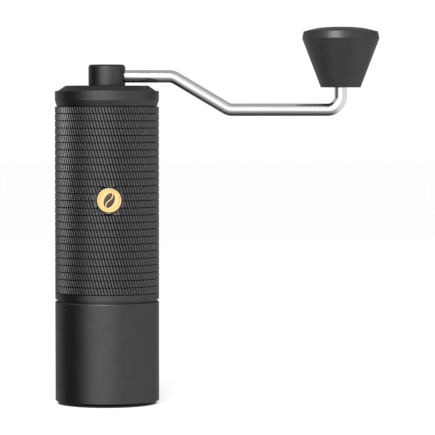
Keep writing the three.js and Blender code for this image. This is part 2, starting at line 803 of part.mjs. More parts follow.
function bentPath(corners, radius) {
  const path = new THREE.CurvePath();
  let last = corners[0];
  for (let place = 1; place < corners.length - 1; place += 1) {
    const corner = corners[place];
    const back = corners[place - 1].clone().sub(corner).normalize();
    const ahead = corners[place + 1].clone().sub(corner).normalize();
    const half = back.angleTo(ahead) / 2;
    const reach = radius / Math.tan(half);
    const start = corner.clone().addScaledVector(back, reach);
    const inward = back.clone().add(ahead).normalize();
    const centre = corner.clone().addScaledVector(inward, radius / Math.sin(half));
    path.add(new THREE.LineCurve3(last, start));
    path.add(new Bend(centre, start, corner.clone().addScaledVector(ahead, reach)));
    last = corner.clone().addScaledVector(ahead, reach);
  }
  path.add(new THREE.LineCurve3(last, corners[corners.length - 1]));
  return path;
}

// A circular arc about a centre, from one point to another.
class Bend extends THREE.Curve {
  constructor(centre, start, end) {
    super();
    this.centre = centre;
    this.from = start.clone().sub(centre);
    this.to = end.clone().sub(centre);
    this.angle = this.from.angleTo(this.to);
  }

  getPoint(t, target = new THREE.Vector3()) {
    const whole = Math.sin(this.angle);
    return target.copy(this.centre)
      .addScaledVector(this.from, Math.sin((1 - t) * this.angle) / whole)
      .addScaledVector(this.to, Math.sin(t * this.angle) / whole);
  }
}

const rodPath = bentPath([
  new THREE.Vector3(rodInset, 0, rodUpper),
  new THREE.Vector3(rodBendStart, 0, rodUpper),
  new THREE.Vector3(rodBendEnd, 0, rodLower),
  new THREE.Vector3(crankReach, 0, rodLower),
  new THREE.Vector3(crankReach, 0, spindleTop),
], bendRadius);
const screwBore = disc(knobScrewRadius + seat, spindleTop - knobScrewLength - seat, spindleTop + 1, tinySides)
  .translate(crankReach, 0, 0);
add('crank_rod', cut(rope(rodPath, rodRadius, 44, 6), screwBore), 'polished');

// Knob, with its bushes, and the washer and screw that keep it on the spindle

const capRadius = knobRadius - knobShoulder[0] - knobCapInset;
const domeRadius = (capRadius ** 2 + knobDomeRise ** 2) / (2 * knobDomeRise);
const domePoints = Array.from({ length: 5 }, (_, step) => {
  const radius = capRadius * (1 - step / 4);
  const fall = domeRadius - Math.sqrt(domeRadius ** 2 - radius ** 2);
  return [radius, knobEdge + knobDomeRise - fall];
});
const bushBore = knobBushRadius + seat;
add('knob_body', turned([
  [bushBore, knobFoot],
  [knobFootRadius - 0.5, knobFoot],
  [knobFootRadius, knobFoot + 0.4],
  [knobRadius, knobWidest],
  [knobRadius - knobShoulder[0], knobEdge],
  [capRadius + seat, knobEdge],
  [capRadius + seat, knobCapFoot - seat],
  [knobChamberRadius, knobCapFoot - seat],
  [knobChamberRadius, chamberFoot],
  [bushBore, chamberFoot],
], bodySides), 'knob', crankReach);
add('knob_cap', turned([
  [0, knobCapFoot],
  [capRadius, knobCapFoot],
  ...domePoints,
], tubeSides), 'knob', crankReach);

function addKnobBush(name, foot) {
  add(name, ring(rodRadius + slip, knobBushRadius, foot, foot + knobBushLength), 'nylon', crankReach);
}

addKnobBush('lower_knob_bush', knobFoot + knobBushInset);
addKnobBush('upper_knob_bush', chamberFoot - knobBushLength);
const knobWasherFoot = spindleTop + 0.2;
const knobWasherTop = knobWasherFoot + knobWasherThickness;
add('knob_washer', ring(knobScrewRadius + seat, knobWasherRadius, knobWasherFoot, knobWasherTop), 'steel',
  crankReach);
const screwHeadFoot = knobWasherTop + 0.2;
add('knob_screw', cut(
  join(
    disc(knobScrewRadius, spindleTop - knobScrewLength, screwHeadFoot + 0.5, tinySides),
    disc(knobScrewHead[0], screwHeadFoot, screwHeadFoot + knobScrewHead[1]),
  ),
  hexagon(knobScrewRadius, screwHeadFoot + knobScrewHead[1] - 1.3, screwHeadFoot + knobScrewHead[1] + 1),
), 'steel', crankReach);

export default grinder;
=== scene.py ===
# Hand crank coffee grinder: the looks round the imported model. Metres, +Z up, the crank along +X.
import json
import math

import bmesh
import bpy
import numpy as np
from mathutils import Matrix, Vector

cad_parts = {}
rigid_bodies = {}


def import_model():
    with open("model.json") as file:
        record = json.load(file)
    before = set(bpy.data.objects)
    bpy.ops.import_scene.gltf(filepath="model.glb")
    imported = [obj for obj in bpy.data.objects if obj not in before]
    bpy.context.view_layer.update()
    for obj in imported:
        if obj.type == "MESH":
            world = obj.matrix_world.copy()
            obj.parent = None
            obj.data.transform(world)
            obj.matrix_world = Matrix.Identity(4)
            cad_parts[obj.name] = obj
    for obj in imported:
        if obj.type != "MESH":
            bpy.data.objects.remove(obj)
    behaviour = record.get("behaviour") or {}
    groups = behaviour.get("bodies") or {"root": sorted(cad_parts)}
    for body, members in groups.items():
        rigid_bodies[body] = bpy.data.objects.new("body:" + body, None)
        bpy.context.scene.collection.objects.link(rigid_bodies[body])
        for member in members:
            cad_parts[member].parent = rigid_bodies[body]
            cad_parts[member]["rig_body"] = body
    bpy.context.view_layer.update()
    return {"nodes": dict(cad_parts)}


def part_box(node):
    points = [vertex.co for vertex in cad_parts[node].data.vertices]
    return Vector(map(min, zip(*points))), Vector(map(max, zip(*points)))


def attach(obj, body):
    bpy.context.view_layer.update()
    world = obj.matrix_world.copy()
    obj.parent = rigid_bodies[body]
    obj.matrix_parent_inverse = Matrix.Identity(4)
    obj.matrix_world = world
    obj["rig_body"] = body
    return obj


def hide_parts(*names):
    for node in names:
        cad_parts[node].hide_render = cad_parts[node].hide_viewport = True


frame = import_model()
mm = 0.001
turn = 2 * math.pi
print("frame loaded:", len(frame["nodes"]), "nodes")

# Sizes that the frame gives
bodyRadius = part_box("lid_cap")[1].x
cupBase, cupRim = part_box("cup_shell")[0].z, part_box("cup_shell")[1].z
sleeveFoot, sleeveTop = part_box("grip_sleeve")[0].z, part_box("grip_sleeve")[1].z
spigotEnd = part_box("inner_barrel")[0].z
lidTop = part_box("lid_cap")[1].z
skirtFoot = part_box("lid_cap")[0].z
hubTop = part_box("crank_hub")[1].z
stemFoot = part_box("crank_hub")[0].z
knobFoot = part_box("knob_body")[0].z
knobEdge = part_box("knob_body")[1].z
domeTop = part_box("knob_cap")[1].z
crankReach = (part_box("knob_body")[0].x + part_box("knob_body")[1].x) / 2
knobRadius = (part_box("knob_body")[1].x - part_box("knob_body")[0].x) / 2
badgeHeight = (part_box("badge")[0].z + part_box("badge")[1].z) / 2
badgeRadius = (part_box("badge")[1].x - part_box("badge")[0].x) / 2
badgeBack, badgeFace = -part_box("badge")[1].y, -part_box("badge")[0].y


# Meshes

# Every corner (radius, height, rounding) becomes an arc of that radius, tangent to both of its edges,
# with one more point a little before and after it, so that the flats stay flat. All in millimetres.
def roundedOutline(corners, closed=True, steps=5):
    points = []
    count = len(corners)
    for index, (radius, height, rounding) in enumerate(corners):
        here = np.array((radius, height), float)
        ends = not closed and index in (0, count - 1)
        if rounding <= 0 or ends:
            points.append(here)
            continue
        back = np.array(corners[index - 1][:2], float) - here
        ahead = np.array(corners[(index + 1) % count][:2], float) - here
        room = 0.46 * min(np.linalg.norm(back), np.linalg.norm(ahead))
        back /= np.linalg.norm(back)
        ahead /= np.linalg.norm(ahead)
        half = math.acos(float(np.clip(back @ ahead, -1, 1))) / 2
        reach = min(rounding / math.tan(half), room)
        rounding = reach * math.tan(half)
        inward = (back + ahead) / np.linalg.norm(back + ahead)
        centre = here + inward * rounding / math.sin(half)
        support = min(0.08, room - reach + 0.01)
        start, end = here + back * reach - centre, here + ahead * reach - centre
        whole = math.pi - 2 * half
        share = np.linspace(0, 1, steps)[:, None]
        arc = centre + (start * np.sin((1 - share) * whole) + end * np.sin(share * whole)) / math.sin(whole)
        points += [here + back * (reach + support), *arc, here + ahead * (reach + support)]
    return np.array(points)


# Puts points and faces into a new mesh object, merges doubled points, and keeps a value per point if given.
def meshObject(name, points, faces, smooth=True, values=None, merge=False):
    mesh = bpy.data.meshes.new(name)
    mesh.from_pydata(np.asarray(points).reshape(-1, 3).tolist(), [], np.asarray(faces).tolist())
    for key, value in (values or {}).items():
        layer = mesh.attributes.new(key, "FLOAT", "POINT")
        layer.data.foreach_set("value", np.asarray(value, np.float32).ravel())
    if merge:
        work = bmesh.new()
        work.from_mesh(mesh)
        bmesh.ops.remove_doubles(work, verts=work.verts, dist=1e-7)
        work.to_mesh(mesh)
        work.free()
    flags = np.full(len(mesh.polygons), smooth) if np.isscalar(smooth) else np.asarray(smooth)
    mesh.polygons.foreach_set("use_smooth", flags.astype(bool))
    mesh.update()
    piece = bpy.data.objects.new(name, mesh)
    bpy.context.scene.collection.objects.link(piece)
    return piece


# Quads of a grid of rows by columns whose columns close into a ring, and whose rows close too if asked.
def gridFaces(rows, columns, closedRows):
    row = np.arange(rows if closedRows else rows - 1)[:, None]
    column = np.arange(columns)[None, :]
    nextRow, nextColumn = (row + 1) % rows, (column + 1) % columns
    corners = [row * columns + column, row * columns + nextColumn,
               nextRow * columns + nextColumn, nextRow * columns + column]
    return np.stack(np.broadcast_arrays(*corners), axis=-1).reshape(-1, 4)


# A turned piece: x = r cos a, y = r sin a, z = h, for each (r, h) of the outline and each angle a.
# The value "edge" is how sharply the outline turns outwards at a point, from 0 to 1. A ripple, if given,
# adds to the radius.
def turned(name, outline, sides=192, closed=True, centre=(0, 0), ripple=None):
    line = np.asarray(outline, float)
    after = np.roll(line, -1, axis=0)
    area = float(np.sum(line[:, 0] * after[:, 1] - after[:, 0] * line[:, 1]))
    if area < 0:
        line = line[::-1]
    back = line - np.roll(line, 1, axis=0)
    ahead = np.roll(line, -1, axis=0) - line
    bend = back[:, 0] * ahead[:, 1] - back[:, 1] * ahead[:, 0]
    bend /= np.maximum(np.linalg.norm(back, axis=1) * np.linalg.norm(ahead, axis=1), 1e-9)
    edge = np.clip(bend * 3, 0, 1)
    angle = np.arange(sides) * turn / sides
    radius = np.repeat(line[:, :1], sides, axis=1)
    height = np.repeat(line[:, 1:], sides, axis=1)
    if ripple is not None:
        radius = radius + ripple(height, np.broadcast_to(angle, radius.shape), radius)
    points = np.stack([centre[0] / mm + radius * np.cos(angle), centre[1] / mm + radius * np.sin(angle),
                       height], axis=-1) * mm
    faces = gridFaces(len(line), sides, closed)
    return meshObject(name, points, faces, values={"edge": np.repeat(edge, sides)}, merge=not closed)


# A round tube about a path: each path point's ring lies square to the path, with a radius of its own.
def tube(name, path, radius, sides=40, side=(0, 1, 0)):
    path = np.asarray(path, float)
    along = np.gradient(path, axis=0)
    along /= np.linalg.norm(along, axis=1)[:, None]
    across = np.broadcast_to(np.asarray(side, float), path.shape)
    across = across - np.sum(across * along, axis=1)[:, None] * along
    across = across / np.linalg.norm(across, axis=1)[:, None]
    third = np.cross(along, across)
    path = np.concatenate([path[:1], path, path[-1:]])
    across = np.concatenate([across[:1], across, across[-1:]])
    third = np.concatenate([third[:1], third, third[-1:]])
    radii = np.concatenate([[0], np.broadcast_to(radius, len(path) - 2), [0]])
    angle = np.arange(sides) * turn / sides
    ring = (across[:, None, :] * np.cos(angle)[None, :, None]
            + third[:, None, :] * np.sin(angle)[None, :, None])
    points = (path[:, None, :] + radii[:, None, None] * ring) * mm
    return meshObject(name, points, gridFaces(len(path), sides, False), merge=True)


# A path of straight runs through the corners, with an arc of the bend radius at each inner corner.
def bentPath(corners, bendRadius, steps=14, straight=3):
    corners = [np.array(corner, float) for corner in corners]
    points = [corners[0]]
    for before, here, after in zip(corners, corners[1:], corners[2:]):
        back = (before - here) / np.linalg.norm(before - here)
        ahead = (after - here) / np.linalg.norm(after - here)
        half = math.acos(float(np.clip(back @ ahead, -1, 1))) / 2
        reach = bendRadius / math.tan(half)
        centre = here + (back + ahead) / np.linalg.norm(back + ahead) * bendRadius / math.sin(half)
        start, end = here + back * reach - centre, here + ahead * reach - centre
        whole = math.pi - 2 * half
        share = np.linspace(0, 1, steps)[:, None]
        arc = centre + (start * np.sin((1 - share) * whole) + end * np.sin(share * whole)) / math.sin(whole)
        points += [*np.linspace(points[-1], arc[0], straight + 2)[1:-1], *arc]
    points += [*np.linspace(points[-1], corners[-1], straight + 2)[1:]]
    return np.array(points)


# Turns a piece made about Z so that it faces -Y at the badge's height: (x, y, z) becomes (x, -z, y).
def faceFront(piece):
    mesh = piece.data
    spots = np.zeros(len(mesh.vertices) * 3, np.float32)
    mesh.vertices.foreach_get("co", spots)
    spots = spots.reshape(-1, 3)
    placed = np.stack([spots[:, 0], -spots[:, 2], spots[:, 1] + badgeHeight], axis=-1)
    mesh.vertices.foreach_set("co", placed.astype(np.float32).ravel())
    mesh.update()


# A merged copy of a CAD node with its flats joined and its edges broken by a small bevel.
def softened(node, name, width=0.12, angle=32):
    mesh = frame["nodes"][node].data.copy()
    mesh.name = name
    mesh.materials.clear()
    work = bmesh.new()
    work.from_mesh(mesh)
    bmesh.ops.remove_doubles(work, verts=work.verts, dist=2e-6)
    bmesh.ops.dissolve_limit(work, angle_limit=math.radians(0.6), verts=work.verts, edges=work.edges)
    for face in work.faces:
        face.smooth = True
    work.to_mesh(mesh)
    work.free()
    mesh.set_sharp_from_angle(angle=math.radians(angle))
    piece = bpy.data.objects.new(name, mesh)
    bpy.context.scene.collection.objects.link(piece)
    bevel = piece.modifiers.new("brokenEdges", "BEVEL")
    bevel.width = width * mm
    bevel.segments = 2
    bevel.limit_method = "ANGLE"
    bevel.angle_limit = math.radians(angle)
    bevel.harden_normals = True
    place(piece, node)
    return piece


# A piece stands for a CAD node, and rides on the same body.
def place(piece, node):
    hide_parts(node)
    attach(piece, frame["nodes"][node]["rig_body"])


# Finishes

finishes = {
    "anodisedShell": {"colour": (0.068, 0.068, 0.070), "shade": (0.061, 0.061, 0.063), "metallic": 1.0,
                      "roughness": 0.36, "spread": 0.03, "grain": 0.10, "bump": 0.006, "cloud": 9.0,
                      "rim": 0.6, "worn": (0.12, 0.12, 0.12), "wear": 0.5},
    "anodisedKnurl": {"colour": (0.070, 0.070, 0.072), "shade": (0.062, 0.062, 0.064), "metallic": 1.0,
                      "roughness": 0.34, "spread": 0.04, "grain": 0.10, "bump": 0.005, "cloud": 7.0,
                      "rim": 0.6, "worn": (0.13, 0.13, 0.13), "wear": 0.7,
                      # painted shade: a near-black tone painted into the ring grooves and knurl floors,
                      # where shade falls
                      "paintedGrooveShade": (0.008, 0.008, 0.008)},
    "knobPlastic": {"colour": (0.047, 0.047, 0.048), "shade": (0.043, 0.043, 0.044), "metallic": 0.6,
                    "roughness": 0.34, "spread": 0.04, "grain": 0.14, "bump": 0.008, "cloud": 8.0,
                    "rim": 0.4, "worn": (0.06, 0.06, 0.06), "wear": 0.4},
    "footRubber": {"colour": (0.020, 0.020, 0.021), "shade": (0.014, 0.014, 0.015), "metallic": 0.0,
                   "roughness": 0.72, "spread": 0.06, "grain": 0.20, "bump": 0.02, "cloud": 5.0},
    "polishedRod": {"colour": (0.72, 0.72, 0.71), "shade": (0.66, 0.66, 0.66), "metallic": 1.0,
                    "roughness": 0.15, "spread": 0.05, "grain": 0.25, "bump": 0.001, "cloud": 14.0},
    "barrelAluminium": {"colour": (0.62, 0.62, 0.61), "shade": (0.52, 0.52, 0.52), "metallic": 1.0,
                        "roughness": 0.30, "spread": 0.06, "grain": 0.16, "bump": 0.004, "cloud": 10.0,
                        "turned": 0.12, "worn": (0.75, 0.75, 0.74), "wear": 0.5},
    "groundSteel": {"colour": (0.60, 0.60, 0.61), "shade": (0.50, 0.50, 0.51), "metallic": 1.0,
                    "roughness": 0.22, "spread": 0.06, "grain": 0.12, "bump": 0.003, "cloud": 6.0,
                    "turned": 0.08, "worn": (0.75, 0.75, 0.75), "wear": 0.5},
    "springSteel": {"colour": (0.50, 0.50, 0.51), "shade": (0.40, 0.40, 0.41), "metallic": 1.0,
                    "roughness": 0.28, "spread": 0.06, "grain": 0.15, "bump": 0.003, "cloud": 4.0},
    "blackSteel": {"colour": (0.045, 0.045, 0.047), "shade": (0.030, 0.030, 0.032), "metallic": 0.9,
                   "roughness": 0.42, "spread": 0.08, "grain": 0.15, "bump": 0.006, "cloud": 4.0},
    "burrSteel": {"colour": (0.42, 0.42, 0.43), "shade": (0.33, 0.33, 0.34), "metallic": 1.0,
                  "roughness": 0.33, "spread": 0.08, "grain": 0.14, "bump": 0.006, "cloud": 5.0,
                  "worn": (0.62, 0.62, 0.63), "wear": 0.6},
    "brass": {"colour": (0.72, 0.50, 0.20), "shade": (0.60, 0.40, 0.15), "metallic": 1.0,
              "roughness": 0.27, "spread": 0.07, "grain": 0.14, "bump": 0.004, "cloud": 6.0,
              "turned": 0.08, "worn": (0.85, 0.65, 0.32), "wear": 0.5},
    "nylon": {"colour": (0.62, 0.60, 0.54), "shade": (0.55, 0.53, 0.47), "metallic": 0.0,
              "roughness": 0.46, "spread": 0.05, "grain": 0.30, "bump": 0.006, "cloud": 7.0},
    "paleGold": {"colour": (0.66, 0.45, 0.185), "shade": (0.58, 0.38, 0.15), "metallic": 0.6,
                 "roughness": 0.38, "spread": 0.06, "grain": 0.05, "bump": 0.006, "cloud": 3.0,
                 "worn": (1.0, 0.88, 0.55), "wear": 0.7},
    "badgeSeat": {"colour": (0.018, 0.018, 0.019), "shade": (0.012, 0.012, 0.013), "metallic": 0.6,
                  "roughness": 0.5, "spread": 0.05, "grain": 0.1, "bump": 0.006, "cloud": 3.0},
}


# The colour drifts between two tones in a soft cloud; a fine grain moves the roughness and the bump;
# worn edges take a lighter tone where the mesh has its "edge" value, and painted shade, a darker tone, fills
# the grooves and hollows by the mesh's shade value; turned pieces get fine rings along Z. "rim" is the tint
# of the grazing reflection.
def makeFinish(name, look):
    material = bpy.data.materials.new(name)
    material.use_nodes = True
    nodes, link = material.node_tree.nodes, material.node_tree.links.new
    shader = nodes["Principled BSDF"]
    shader.inputs["Metallic"].default_value = look["metallic"]
    shader.inputs["Specular Tint"].default_value = (*[look.get("rim", 1.0)] * 3, 1)
    where = nodes.new("ShaderNodeTexCoord").outputs["Object"]

    def noise(size, detail, source):
        texture = nodes.new("ShaderNodeTexNoise")
        texture.inputs["Scale"].default_value = 1 / (size * mm)
        texture.inputs["Detail"].default_value = detail
        link(source, texture.inputs["Vector"])
        return texture.outputs["Fac"]

    def ranged(source, low, high, fromLow=0.3, fromHigh=0.7):
        change = nodes.new("ShaderNodeMapRange")
        change.inputs["From Min"].default_value = fromLow
        change.inputs["From Max"].default_value = fromHigh
        change.inputs["To Min"].default_value = low
        change.inputs["To Max"].default_value = high
        link(source, change.inputs["Value"])
        return change.outputs["Result"]

    def mixed(share, first, second):
        blend = nodes.new("ShaderNodeMix")
        blend.data_type = "RGBA"
        link(share, blend.inputs["Factor"])
        for socket, value in ((blend.inputs["A"], first), (blend.inputs["B"], second)):
            if isinstance(value, tuple):
                socket.default_value = (*value, 1)
            else:
                link(value, socket)
        return blend.outputs["Result"]

    cloud = ranged(noise(look["cloud"], 3, where), 0, 1)
    fine = noise(look["grain"], 4, where)
    colour = mixed(cloud, look["colour"], look["shade"])
    height = fine
    if "turned" in look:
        stretch = nodes.new("ShaderNodeMapping")
        stretch.inputs["Scale"].default_value = (0.02, 0.02, 1)
        link(where, stretch.inputs["Vector"])
        rings = noise(look["turned"], 2, stretch.outputs["Vector"])
        total = nodes.new("ShaderNodeMath")
        total.operation = "ADD"
        link(fine, total.inputs[0])
        link(rings, total.inputs[1])
        height = total.outputs["Value"]
    if "wear" in look:
        mark = nodes.new("ShaderNodeAttribute")
        mark.attribute_name = "edge"
        patchy = nodes.new("ShaderNodeMath")
        patchy.operation = "MULTIPLY"
        link(mark.outputs["Fac"], patchy.inputs[0])
        link(ranged(noise(1.6, 3, where), 0.2 * look["wear"], look["wear"]), patchy.inputs[1])
        colour = mixed(patchy.outputs["Value"], colour, look["worn"])
    # Painted shade: the colour goes darker, towards the shade tone, in grooves and hollows
    if "paintedGrooveShade" in look:
        grooveShadeMark = nodes.new("ShaderNodeAttribute")
        grooveShadeMark.attribute_name = "paintedGrooveShade"
        colour = mixed(grooveShadeMark.outputs["Fac"], colour, look["paintedGrooveShade"])
    link(colour, shader.inputs["Base Color"])
    low, high = look["roughness"] - look["spread"], look["roughness"] + look["spread"]
    link(ranged(fine, low, high), shader.inputs["Roughness"])
    bump = nodes.new("ShaderNodeBump")
    bump.inputs["Strength"].default_value = 0.6
    bump.inputs["Distance"].default_value = look["bump"] * mm
    link(height, bump.inputs["Height"])
    link(bump.outputs["Normal"], shader.inputs["Normal"])
    return material


material = {name: makeFinish(name, look) for name, look in finishes.items()}


def paint(piece, finish):
    piece.data.materials.clear()
    piece.data.materials.append(material[finish])
    return piece


print("finishes made:", len(material))

# Catch cup and its foot

cup = {"bore": 24.6, "mouth": 25.4, "mouthDepth": 8.2, "mouthLip": 0.6, "floor": 3.2, "floorCorner": 2.0,
       "pad": 24.9, "padHeight": 1.4, "padGap": 0.3, "flangeHeight": 0.7, "flangeGap": 0.05,
       "heel": (1.4, 1.1), "heelRounding": 0.16, "rimInset": 1.05, "rimRounding": 0.55,
       "threadPitch": 1.5, "threadDepth": 0.16, "threadTop": 0.8, "threadFoot": 7.8, "threadRows": 48}
radius, base, rim = bodyRadius / mm, cupBase / mm, cupRim / mm


# Thread on a wall: the radius moves by a rounded triangle wave of height and angle, between two heights.
def threadRipple(pitch, depth, foot, top, wall):
    def ripple(height, angle, across):
        wave = np.abs(((height / pitch - angle / turn) % 1) * 2 - 1)
        inside = np.clip((height - foot) / 0.4, 0, 1) * np.clip((top - height) / 0.4, 0, 1)
        return depth * wave * inside * (np.abs(across - wall) < 0.01)
    return ripple


catchCup = turned("catchCup", [
    *roundedOutline([
        (0, base + 1, 0),
        (cup["pad"] + cup["padGap"], base + 1, 0),
        (cup["pad"] + cup["padGap"], base, 0.1),
        (radius - cup["heel"][0], base, cup["heelRounding"]),
        (radius, base + cup["heel"][1], 0.3),
        (radius, rim, cup["rimRounding"]),
        (cup["mouth"], rim, 0.12),
        (cup["mouth"], rim - cup["mouthLip"], 0),
    ], closed=False),
    *np.stack([np.full(cup["threadRows"], cup["mouth"]),
               np.linspace(rim - cup["threadTop"], rim - cup["threadFoot"], cup["threadRows"])], axis=-1),
    *roundedOutline([
        (cup["mouth"], rim - cup["mouthDepth"] + 0.2, 0),
        (cup["mouth"], rim - cup["mouthDepth"], 0.1),
        (cup["bore"], rim - cup["mouthDepth"] - 0.5, 0.3),
        (cup["bore"], cup["floor"], cup["floorCorner"]),
        (0, cup["floor"], 0),
    ], closed=False, steps=8),
], closed=False, sides=256, ripple=threadRipple(
    cup["threadPitch"], cup["threadDepth"], rim - cup["threadFoot"], rim - cup["threadTop"], cup["mouth"]))
place(paint(catchCup, "anodisedShell"), "cup_shell")
footPad = turned("footPad", roundedOutline([
    (0, 0, 0),
    (radius - cup["heel"][0] - cup["flangeGap"], 0, 0.2),
    (radius - cup["heel"][0] - cup["flangeGap"], cup["flangeHeight"], 0.1),
    (cup["pad"], cup["flangeHeight"], 0.05),
    (cup["pad"], cup["padHeight"], 0.1),
    (0, cup["padHeight"], 0),
], closed=False), closed=False, sides=192)
place(paint(footPad, "footRubber"), "foot_pad")

# The thin rings that close the seams stand a little inside the edges above and below them
sealRings = {"width": 1.1, "inset": 0.25, "lidWidth": 4.2, "lidHeight": 0.12}
cupGasketRadius = radius - cup["rimInset"] - sealRings["inset"]
cupGasket = turned("cupGasket", roundedOutline([
    (cupGasketRadius - sealRings["width"], rim, 0),
    (cupGasketRadius, rim, 0.05),
    (cupGasketRadius, sleeveFoot / mm, 0.05),
    (cupGasketRadius - sealRings["width"], sleeveFoot / mm, 0),
]), sides=192)
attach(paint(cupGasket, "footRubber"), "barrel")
print("catch cup made")

# Grip sleeve

# The last value is the share of the painted groove shade that the knurl floors take
knurl = {"bands": 26, "pitch": 3.782, "starts": 106, "lead": 6.07, "depth": 0.44, "ringDepth": 0.32,
         "ringWidth": 0.50, "ringSlope": 0.04, "bore": 25.4, "neck": (1.12, 0.72), "lip": 0.24,
         "seamRise": 0.15, "upperStep": 0.1, "upperLand": 0.28, "upperBevel": 0.28,
         "seatRadius": 7.0, "seatFloor": 26.45, "floorShadeShare": 0.75}
# One ridge of the knurl, as (part of a ridge pitch, height): a narrow floor, steep sides and a flat crest
ridge = np.array([(-0.06, 0), (0.06, 0), (0.20, 0.88), (0.25, 1), (0.75, 1), (0.80, 0.88)])


# The sleeve is one closed grid. Its rows go up the outside and back down the bore, and its columns follow
# the slanting ridges: a column's angle falls by one ridge pitch for each lead of height. Square ring
# grooves part the knurl into bands.
def gripSleeve():
    foot, top = sleeveFoot / mm, sleeveTop / mm
    seam = top + knurl["seamRise"]
    half = knurl["pitch"] / 2
    ring = knurl["ringWidth"] / 2
    deep = radius - knurl["ringDepth"]
    # Each row: radius, height, 1 where the knurl is cut
    rows = [(r, h, 0) for r, h in roundedOutline([
        (knurl["bore"], foot, 0),
        (radius - knurl["neck"][0], foot, 0.08),
        (radius - knurl["neck"][0], foot + knurl["neck"][1], 0.05),
        (radius - knurl["lip"], foot + knurl["neck"][1] + 0.02, 0.08),
        (radius, foot + knurl["neck"][1] + knurl["lip"], 0.12),
        (radius, seam - knurl["bands"] * knurl["pitch"] - ring, 0),
    ], closed=False)]
    lowestKnurl = seam - knurl["bands"] * knurl["pitch"]
    for band in range(knurl["bands"] - 1, -1, -1):
        middle = seam - (band + 0.5) * knurl["pitch"]
        below, above = middle - half, middle + half
        slope = knurl["ringSlope"]
        rows += [(deep, below - ring + slope, 0), (deep, below + ring - slope, 0)]
        rows += [(radius, below + ring, 1), (radius, above - ring - knurl["upperStep"] * (band == 0), 1)]
    rows += [(r, h, 0) for r, h in roundedOutline([
        (radius - knurl["upperStep"], seam - knurl["upperLand"], 0),
        (radius - knurl["upperStep"] - knurl["upperBevel"], top, 0.1),
        (knurl["bore"], top, 0),
    ], closed=False)]
    table = np.array(rows)
    columns = knurl["starts"] * len(ridge)
    share = (np.arange(knurl["starts"])[:, None] + ridge[None, :, 0]).reshape(-1)
    height = np.tile(ridge[:, 1], knurl["starts"])
    cut = table[:, 2][:, None] * (1 - height)[None, :]
    across = table[:, 0][:, None] - knurl["depth"] * cut
    slant = (np.clip(table[:, 1], lowestKnurl, seam) - lowestKnurl) / knurl["lead"]
    angle = (share[None, :] - slant[:, None]) * turn / knurl["starts"]
    points = np.stack([across * np.cos(angle), across * np.sin(angle),
                       np.broadcast_to(table[:, 1][:, None], across.shape)], axis=-1)
    # The badge's seat: points near its circle move on to it, and points inside it go in to its floor
    side, up = points[..., 0], points[..., 2] - badgeHeight / mm
    away = np.hypot(side, up)
    front = (points[..., 1] < 0) & (across > knurl["bore"] + 0.5)
    reach = half / 2
    near = front & (np.abs(away - knurl["seatRadius"]) < reach)
    scale = np.where(near, knurl["seatRadius"] / np.maximum(away, 1), 1)
    points[..., 0] = side * scale
    points[..., 2] = up * scale + badgeHeight / mm
    surface = -np.sqrt(np.maximum(across ** 2 - points[..., 0] ** 2, 0))
    points[..., 1] = np.where(near, surface, points[..., 1])
    inside = front & (away < knurl["seatRadius"] - reach)
    points[..., 1] = np.where(inside, -knurl["seatFloor"], points[..., 1])
    faces = gridFaces(len(rows), columns, True)
    rough = (table[:, 2] > 0) | (np.roll(table[:, 2], -1) > 0)
    edge = table[:, 2][:, None] * (height > 0.85)[None, :] * 1.0
    # Painted shade: the ring grooves take the full dark tone and the knurl floors a share of it
    ridgeFloor = table[:, 2][:, None] * (height < 0.1)[None, :]
    paintedGrooveShade = np.where(table[:, 0][:, None] == deep, 1.0, knurl["floorShadeShare"] * ridgeFloor)
    piece = meshObject("gripSleeve", points * mm, faces, smooth=np.repeat(~rough, columns),
                       values={"edge": edge, "paintedGrooveShade": paintedGrooveShade})
    piece.data.set_sharp_from_angle(angle=math.radians(28))
    return piece


place(paint(gripSleeve(), "anodisedKnurl"), "grip_sleeve")
print("grip sleeve made")

# Badge: a pale gold disc with a raised rim, and a dark bean in the middle

badge = {"inset": 0.2, "rim": 0.75, "rimSlope": 0.12, "rimRise": 0.16, "seat": 7.0, "seatGap": 0.03,
         "beanLength": 4.2, "beanWidth": 2.75, "beanTilt": -0.42, "beanRise": 0.22, "beanSink": 0.02,
         "crease": 0.42, "creaseSwing": 0.75, "grain": 0.25, "gloss": (0.30, 0.46),
         "enamel": (0.035, 0.018, 0.010), "creaseGold": (0.80, 0.60, 0.26)}
faceAt, backAt, discRadius = badgeFace / mm, badgeBack / mm, badgeRadius / mm - badge["inset"]
fieldAt = faceAt - badge["rimRise"]
badgeDisc = turned("badgeDisc", roundedOutline([
    (0, backAt, 0),
    (discRadius, backAt, 0),
    (discRadius, faceAt, 0.12),
    (discRadius - badge["rim"], faceAt, 0.1),
    (discRadius - badge["rim"] - badge["rimSlope"], fieldAt, 0.06),
    (0, fieldAt, 0),
], closed=False), closed=False, sides=128)
faceFront(badgeDisc)
place(paint(badgeDisc, "paleGold"), "badge")
badgeSeat = turned("badgeSeat", roundedOutline([
    (discRadius + badge["seatGap"], backAt - 0.4, 0),
    (badge["seat"], backAt - 0.4, 0),
    (badge["seat"], faceAt - 0.02, 0.08),
    (discRadius + badge["seatGap"], faceAt - 0.12, 0.05),
]), sides=128)
faceFront(badgeSeat)
